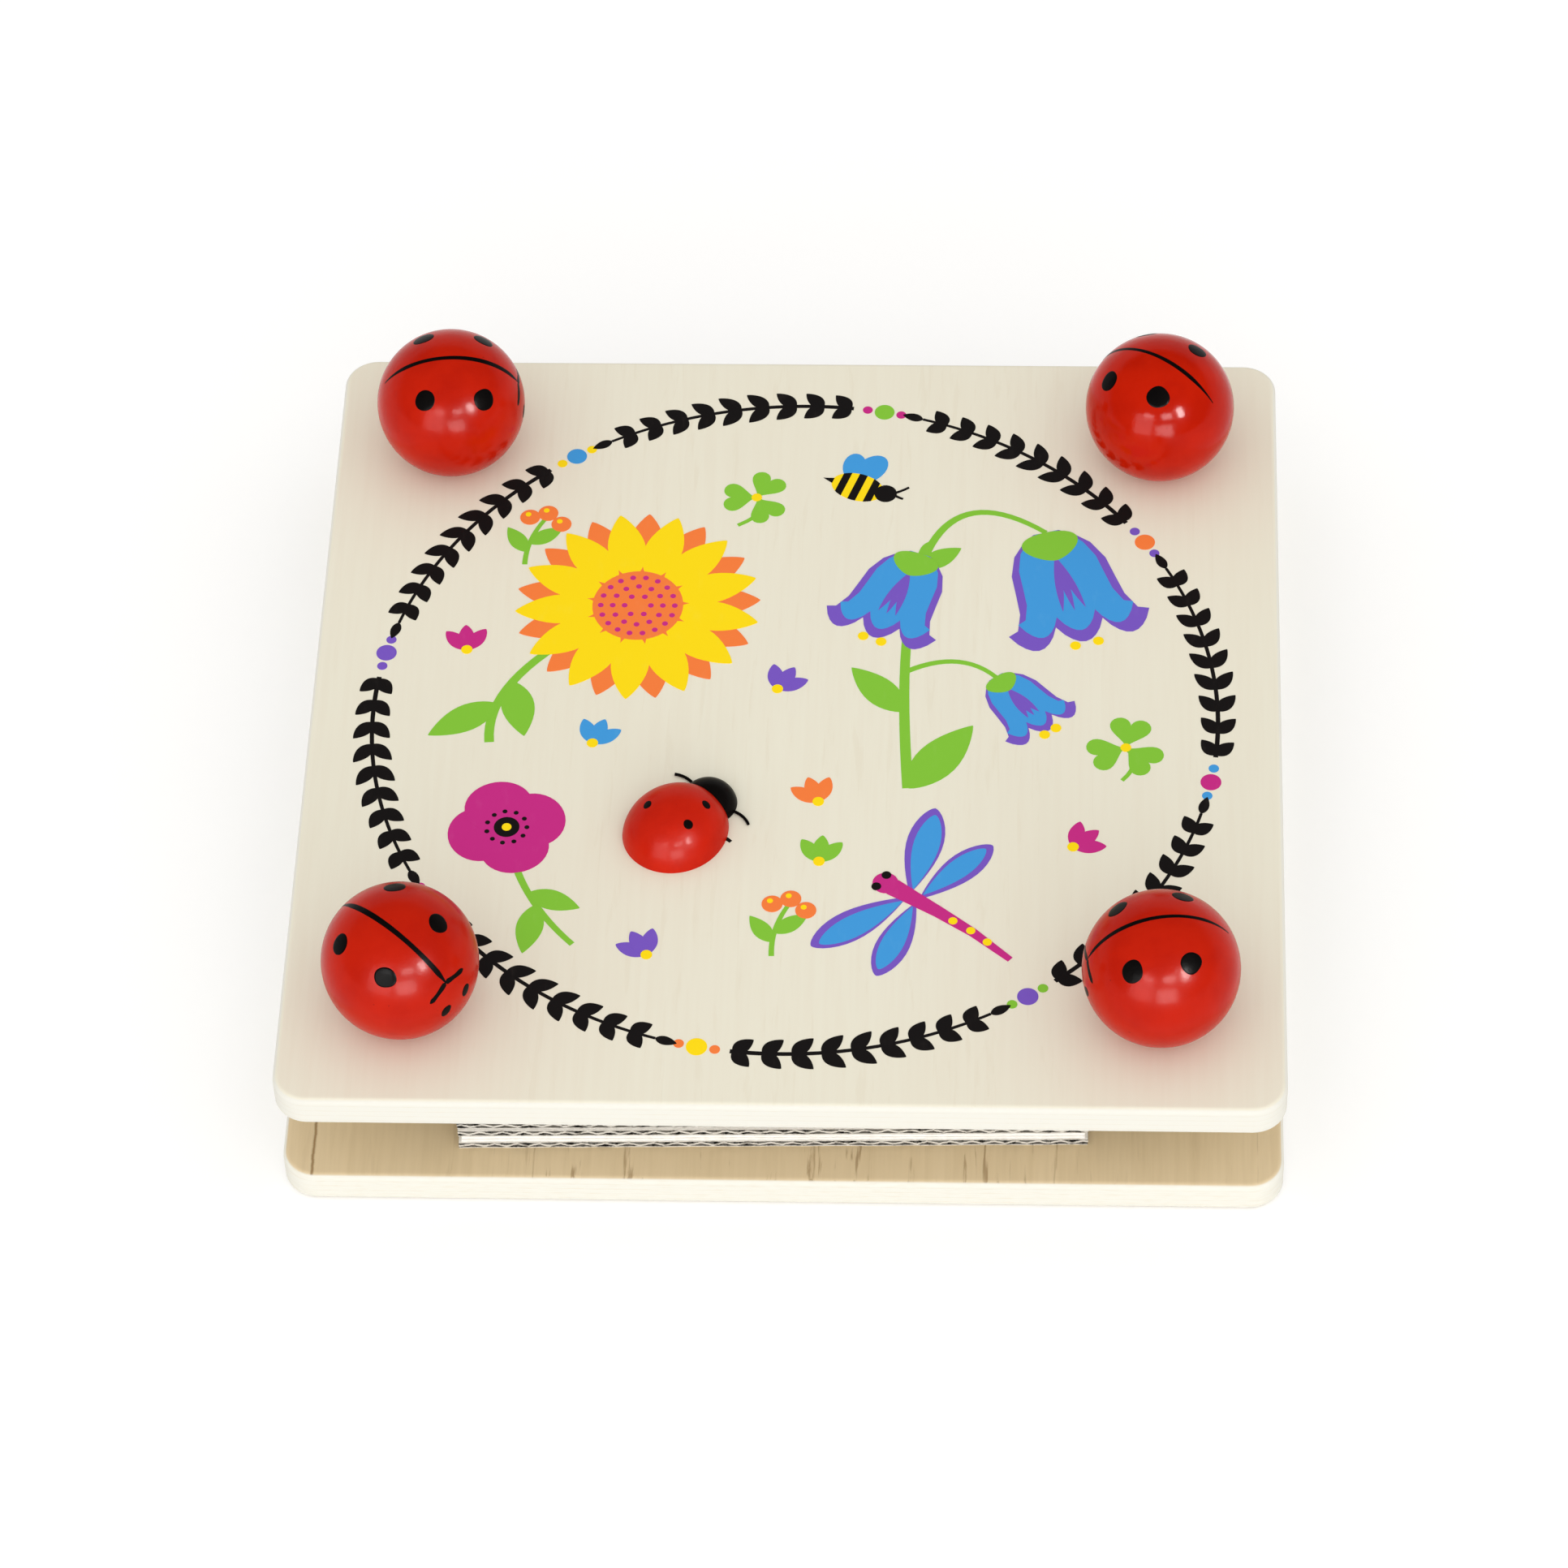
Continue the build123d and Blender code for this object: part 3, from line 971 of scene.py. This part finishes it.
# Bell flowers on an arched stem: place, turn, length and width
BELLS = ((41, 41, -74, 25, 22), (20, 36, -112, 20, 18), (33, 9, -52, 14.5, 13))
ARCH_LEAVES = ((0.02, -1, 17, 7), (0.12, 1, 13, 5.5), (0.44, -1, 8, 3.8))
leafy_stem(bow((19, -15), (13, 62), (41, 41), 36), 1.8, 0.9, ARCH_LEAVES)
printed("lime", stroke(bow((18.2, 10), (27, 15), (33, 9), 14), 1.0, 0.8))
printed("lime", stroke(bow((22.3, 38.4), (20.6, 38.6), (20, 36), 8), 0.9, 0.8))
for *place, length, width in BELLS:
    printed("violet", bell(length, width), 2, place)
    printed("azure", bell(length * 0.9, width * 0.82), 3, place)
    for spread in (-9, 0, 9):
        mark = moved(blade(length * 0.5, 1.3, 1.0, 0.9), length * 0.22, 0, spread)
        printed("violet", mark, 4, place)
    printed("lime", blade(length * 0.26, width * 0.44, 0.7, 0.6), 5, place)
    for side in (-0.09, 0.09):
        printed("yellow", moved(disc(0.9, 16), length * 1.02, width * side), 4, place)

# Poppy
POPPY = (-46.0, -24.0)
POPPY_LEAVES = ((0.55, 1, 9, 4), (0.65, -1, 10, 4.4))
leafy_stem(bow(POPPY, (-44, -38), (-34, -48)), 1.3, 1.0, POPPY_LEAVES)
for i, petal in enumerate(around(disc(5.6, 36, 0.92), 4, 4.6, *POPPY, 20)):
    printed("magenta", petal, 2 + i % 2)
printed("black", disc(2.1, 24), 4, POPPY)
for dot in around(disc(0.42, 10), 11, 3.3, *POPPY):
    printed("black", dot, 4)
printed("yellow", disc(0.8, 16), 5, POPPY)

# Dragonfly: place and turn, then the root, turn, length and width of its wings
FLY = (22.0, -39.0, 146.0)
FLY_WINGS = ((3, 68, 18, 6.0), (1, 102, 16, 5.4))
FLY_BODY = [(6, 0), (2, 0), (-3, 0), (-10, 0.3), (-18, 1.4)]
for side in (1, -1):
    for root, turn, length, width in FLY_WINGS:
        wing = blade(length, width, 1.35, 0.62)
        printed("violet", moved(wing, root, side * 0.6, side * turn), 1, FLY)
        inner = blade(length - 2.2, width - 1.7, 1.35, 0.62)
        printed("azure", moved(inner, root, side * 1.5, side * turn), 2, FLY)
printed("magenta", stroke(FLY_BODY, 3.4, 1.1), 3, FLY)
for x, y in ((-6, 0.2), (-9.5, 0.2), (-13, 0.6)):
    printed("yellow", moved(disc(0.75, 14), x, y), 4, FLY)
printed("magenta", moved(disc(2.1, 24), 7.4, 0), 4, FLY)
for side in (1, -1):
    printed("black", moved(disc(0.8, 16), 8.2, side * 1.4), 5, FLY)

# Clovers: place, turn and size
for x, y, turn, size in ((54.5, -6.0, 80, 6.2), (-8.0, 48.5, 60, 5.6)):
    for lobe in (0, 120, 240):
        printed("lime", heart(size), 1, (x, y, turn + lobe))
    tail = math.radians(turn + 185)
    far = (x + 7 * math.cos(tail), y + 7 * math.sin(tail))
    printed("lime", stroke(bow((x, y), (x + 3, y - 3), far, 8), 0.9, 0.7))
    printed("yellow", disc(0.9, 14), 2, (x, y))

# Bee: place and turn, then the half length and half width of its body
BEE = (9.0, 51.0, -20.0)
BEE_LONG = 4.6
BEE_WIDE = 3.0


def bee_band(start, end):
    """Stripe across the bee's oval body."""
    def half(x):
        return BEE_WIDE * math.sqrt(1 - (x / BEE_LONG) ** 2)
    xs = [start + (end - start) * s for s in share_steps(5)]
    return [(x, -half(x)) for x in xs] + [(x, half(x)) for x in xs[::-1]]


printed("azure", moved(disc(2.4, 24, 1.5), 0.6, 4.6, 70), 1, BEE)
printed("azure", moved(disc(2.0, 24, 1.5), -2.2, 4.2, 105), 1, BEE)
printed("yellow", disc(BEE_WIDE, 32, BEE_LONG / BEE_WIDE), 2, BEE)
for start, end in ((-3.3, -2.0), (-0.7, 0.7), (2.0, 3.3)):
    printed("black", bee_band(start, end), 3, BEE)
printed("black", moved(disc(1.9, 24), 5.0, 0.3), 3, BEE)
for side in (1, -1):
    feeler = bow((6, 0.6), (7.4, 1 + side * 0.8), (8.2, 1.6 + side * 1.4), 8)
    printed("black", stroke(feeler, 0.5, 0.4), 3, BEE)
printed("black", [(-4.4, -0.6), (-4.4, 0.6), (-6.2, 0)], 2, BEE)

# Berry sprigs: place and turn
BERRY_LEAVES = ((0.25, 1, 6.5, 3.0), (0.45, -1, 6.5, 3.0))
for place in ((-2.0, -50.0, 75), (-46.5, 33.0, 72)):
    path = moved(bow((0, 0), (6, 2), (12, 0), 14), *place)
    leafy_stem(path, 0.9, 0.7, BERRY_LEAVES)
    for bx, by in ((12, 0.4), (10.2, 3.0), (10.4, -2.6)):
        printed("orange", moved(disc(1.7, 22), bx, by), 2, place)
        printed("yellow", moved(disc(0.5, 10), bx + 0.5, by + 0.5), 3, place)

# Small buds: place, turn and colour
BUDS = (
    (-3.0, 6.0, 60, "violet"), (4.5, -18.0, 110, "orange"), (-33.0, -6.0, 70, "azure"),
    (-22.0, -50.0, 120, "violet"), (46.0, -27.0, 40, "magenta"), (-55.0, 14.0, 95, "magenta"),
    (5.0, -30.5, 85, "lime"),
)
for x, y, turn, colour in BUDS:
    for spread in (-38, 0, 38):
        printed(colour, blade(5.4, 2.7, 0.95, 0.7), 1 if spread else 2, (x, y, turn + spread))
    printed("yellow", disc(0.95, 14), 3, (x, y))

# Small leg of the ladybird
printed("black", stroke(bow((-11.6, -25.4), (-10.4, -25.6), (-9.4, -26.6), 8), 0.9, 0.6))


def counter_clockwise(outline):
    """Outline that turns to the left, whichever way it was drawn."""
    pairs = zip(outline[-1:] + outline[:-1], outline)
    area = sum(ax * by - bx * ay for (ax, ay), (bx, by) in pairs)
    return outline if area > 0 else outline[::-1]


for colour, films in prints.items():
    shells = Shells()
    for number, (outline, layer) in enumerate(films):
        top = top_face + INK_RISE + layer * INK_LAYER + (number % INK_STEPS) * INK_STEP
        shells.add(*slab(counter_clockwise(outline), top_face, top))
    shells.piece(f"print_{colour}", "top", "printed_board", [inks[colour]], INK_SHARP_DEG)


# Materials of the CAD nodes that stay

def finish_node(node, material):
    """Puts one material on a CAD node."""
    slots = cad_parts[node].data.materials
    slots.clear()
    slots.append(material)


finish_node("top_board", printed_wood)
finish_node("bottom_board", bare_wood)
for corner in CORNERS:
    finish_node(f"knob_{corner}", ball_paints[corner])
    finish_node(f"insert_{corner}", brass)
finish_node("ladybird_body", ladybird_paint)
for node in ("ladybird_head", "ladybird_antenna_left", "ladybird_antenna_right"):
    finish_node(node, black_paint)


# Floor, light and camera, in metres

FLOOR_HALF = 3.0
FLOOR_DROP = 0.0001
FLOOR_BOUNCE = 0.86
FLOOR_SHOWN = 0.8
FLOOR_GLOW = 0.27


def grey(value):
    """Neutral colour."""
    return (value, value, value, 1)


def shown_rays(tree):
    """1 for camera, glossy and transmission rays."""
    rays = tree.nodes.new("ShaderNodeLightPath").outputs
    shown = math_node(tree, "MAXIMUM", rays["Is Camera Ray"], rays["Is Glossy Ray"])
    return math_node(tree, "MAXIMUM", shown, rays["Is Transmission Ray"])


def pick_shader(tree, share, first, second):
    """Shader that goes from the first to the second as a share goes from 0 to 1."""
    return feed(tree.nodes.new("ShaderNodeMixShader"), {0: share, 1: first, 2: second})[0]


def floor_white():
    """Matt white that shows nearly pure white and bounces light as a plain floor does."""
    material = bpy.data.materials.new("studio_floor")
    material.use_nodes = True
    tree = material.node_tree
    tree.nodes.remove(tree.nodes["Principled BSDF"])
    bounce = feed(tree.nodes.new("ShaderNodeBsdfDiffuse"), {"Color": grey(FLOOR_BOUNCE)})
    matt = feed(tree.nodes.new("ShaderNodeBsdfDiffuse"), {"Color": grey(FLOOR_SHOWN)})
    glow = feed(tree.nodes.new("ShaderNodeEmission"), {"Strength": FLOOR_GLOW})
    shown = feed(tree.nodes.new("ShaderNodeAddShader"), {0: matt[0], 1: glow[0]})
    surface = pick_shader(tree, shown_rays(tree), bounce[0], shown[0])
    feed(tree.nodes["Material Output"], {"Surface": surface})
    return material


floor_mesh = bpy.data.meshes.new("floor")
floor_corners = [(x, y, -FLOOR_DROP) for x, y in four_ways([(-FLOOR_HALF, -FLOOR_HALF)])]
floor_mesh.from_pydata(floor_corners, [], [[0, 1, 2, 3]])
floor_mesh.materials.append(floor_white())
floor = bpy.data.objects.new("floor", floor_mesh)
scene.collection.objects.link(floor)

FRONT_FILL = 1.25
BACK_FILL = 0.65
FILL_COLOUR = (1.0, 0.99, 0.97, 1)
SKY_SLOPE = -0.45
SKY_FADE = 0.25
CEILING = 0.05


def studio_world():
    """White behind the object, dark overhead in gloss, and a matt fill that is stronger in front."""
    world = bpy.data.worlds.new("studio")
    world.use_nodes = True
    tree = world.node_tree
    white = feed(tree.nodes["Background"], {"Color": grey(1), "Strength": 1})
    direction = tree.nodes.new("ShaderNodeTexCoord").outputs["Generated"]
    axes = feed(tree.nodes.new("ShaderNodeSeparateXYZ"), {"Vector": direction})
    strength = ramp(tree, axes["Y"], -1, 1, FRONT_FILL, BACK_FILL, "LINEAR")
    fill = feed(tree.nodes.new("ShaderNodeBackground"), {"Color": FILL_COLOUR, "Strength": strength})
    height = math_node(tree, "MULTIPLY_ADD", axes["Y"], SKY_SLOPE, axes["Z"])
    strength = ramp(tree, height, 0, SKY_FADE, 1, CEILING)
    gloss = feed(tree.nodes.new("ShaderNodeBackground"), {"Strength": strength})
    camera_ray = tree.nodes.new("ShaderNodeLightPath").outputs["Is Camera Ray"]
    shown = pick_shader(tree, camera_ray, gloss[0], white[0])
    surface = pick_shader(tree, shown_rays(tree), fill[0], shown)
    feed(tree.nodes["World Output"], {"Surface": surface})
    return world


scene.world = studio_world()

TARGET = Vector((0, 0, 0.02))
LAMP_DISTANCE = 1.2
# Lamps: azimuth and elevation in degrees, width, height and radiance
FRONT_KEY = (8, 12, 1.4, 0.6, 1.45)
WINDOW_PANES = (
    (42, 33, 0.2, 0.28, 80.0),
    (16, 34, 0.34, 0.16, 28.0),
    (-18, 34, 0.3, 0.14, 17.0),
    (10, 11, 0.55, 0.4, 14.0),
    (-25, 17, 0.65, 0.7, 6.5),
)


def towards(azimuth, elevation):
    """Direction from the object, where azimuth 0 is straight in front."""
    level = math.cos(elevation)
    return Vector((math.sin(azimuth) * level, -math.cos(azimuth) * level, math.sin(elevation)))


def softbox(name, azimuth_deg, elevation_deg, width, height, radiance, glossy):
    """Area lamp that faces the object with a given radiance, for gloss or for matt light."""
    lamp = bpy.data.lights.new(name, "AREA")
    lamp.shape = "RECTANGLE"
    lamp.size = width
    lamp.size_y = height
    lamp.energy = radiance * math.pi * width * height
    away = towards(math.radians(azimuth_deg), math.radians(elevation_deg))
    obj = bpy.data.objects.new(name, lamp)
    obj.location = TARGET + away * LAMP_DISTANCE
    obj.rotation_euler = away.to_track_quat("Z", "Y").to_euler()
    obj.visible_glossy = glossy
    obj.visible_diffuse = not glossy
    scene.collection.objects.link(obj)


softbox("front_key", *FRONT_KEY, glossy=False)
for number, pane in enumerate(WINDOW_PANES):
    softbox(f"pane_{number}", *pane, glossy=True)

# Camera fitted to the photograph: angles in radians, slide to the right, up and back in millimetres
FOCAL_PIXELS = 7996.0
PHOTO_PIXELS = 1932.0
CAMERA_AZIMUTH = 0.0685
CAMERA_ELEVATION = 0.8798
CAMERA_ROLL = -0.0437
CAMERA_SLIDE = (-1.8712, -7.2322, 1072.761)
SENSOR_WIDTH = 36
NEAR_CLIP = 0.01


def photo_camera():
    """Camera that sees the object as the photograph does."""
    back = towards(CAMERA_AZIMUTH, CAMERA_ELEVATION)
    level_right = Vector((math.cos(CAMERA_AZIMUTH), math.sin(CAMERA_AZIMUTH), 0))
    level_up = back.cross(level_right)
    right = level_right * math.cos(CAMERA_ROLL) + level_up * math.sin(CAMERA_ROLL)
    up = -level_right * math.sin(CAMERA_ROLL) + level_up * math.cos(CAMERA_ROLL)
    slide_right, slide_up, distance = CAMERA_SLIDE
    place = TARGET + (back * distance + right * slide_right + up * slide_up) * MM
    lens = bpy.data.cameras.new("camera")
    lens.sensor_width = SENSOR_WIDTH
    lens.lens = FOCAL_PIXELS / PHOTO_PIXELS * SENSOR_WIDTH
    lens.clip_start = NEAR_CLIP
    camera = bpy.data.objects.new("camera", lens)
    camera.matrix_world = Matrix((
        (right.x, up.x, back.x, place.x),
        (right.y, up.y, back.y, place.y),
        (right.z, up.z, back.z, place.z),
        (0, 0, 0, 1)))
    scene.collection.objects.link(camera)
    return camera


scene.camera = photo_camera()
scene.view_settings.view_transform = "Standard"
